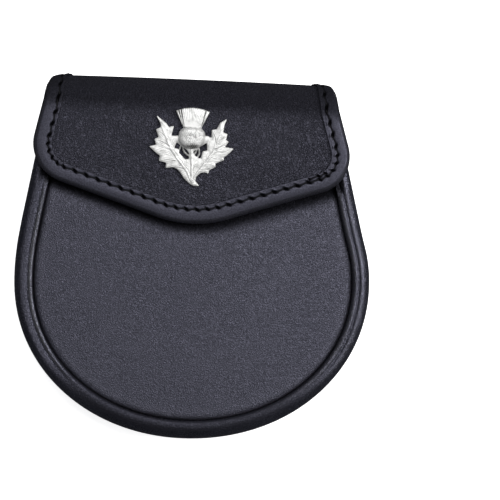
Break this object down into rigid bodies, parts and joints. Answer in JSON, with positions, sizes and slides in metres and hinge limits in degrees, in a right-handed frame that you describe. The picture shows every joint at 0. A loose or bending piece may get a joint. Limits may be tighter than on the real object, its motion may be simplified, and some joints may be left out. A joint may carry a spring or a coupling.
{
  "type": "sporran pouch",
  "caption": "Black leather day sporran pouch with rolled gusset, stitched bound flap and pierced thistle badge, lying on its back.",
  "frame": {"origin": "under the middle of the pouch, on the surface that its back lies on", "axes": "+Z out of the front, +Y from the bottom towards the fold of the flap, +X to the right seen from the front"},
  "size_m": [0.1848, 0.19, 0.0449],
  "materials": {
    "panel_leather": "fine grain, satin",
    "gusset_leather": "pebbled, half gloss",
    "flap_leather": "fine grain, satin",
    "binding_leather": "smooth, half gloss",
    "tab_leather": "smooth, satin",
    "badge_metal": "bright cast, dark in recesses",
    "ring_metal": "polished"
  },
  "bodies": {
    "root": {"front_panel": "panel_leather", "gusset": "gusset_leather", "back_panel": "panel_leather", "flap": "flap_leather", "flap_binding": "binding_leather", "thistle_badge": "badge_metal", "flap_stud": "ring_metal", "ring_tab_left": "tab_leather", "ring_tab_right": "tab_leather", "d_ring_left": "ring_metal", "d_ring_right": "ring_metal"}
  },
  "joints": []
}
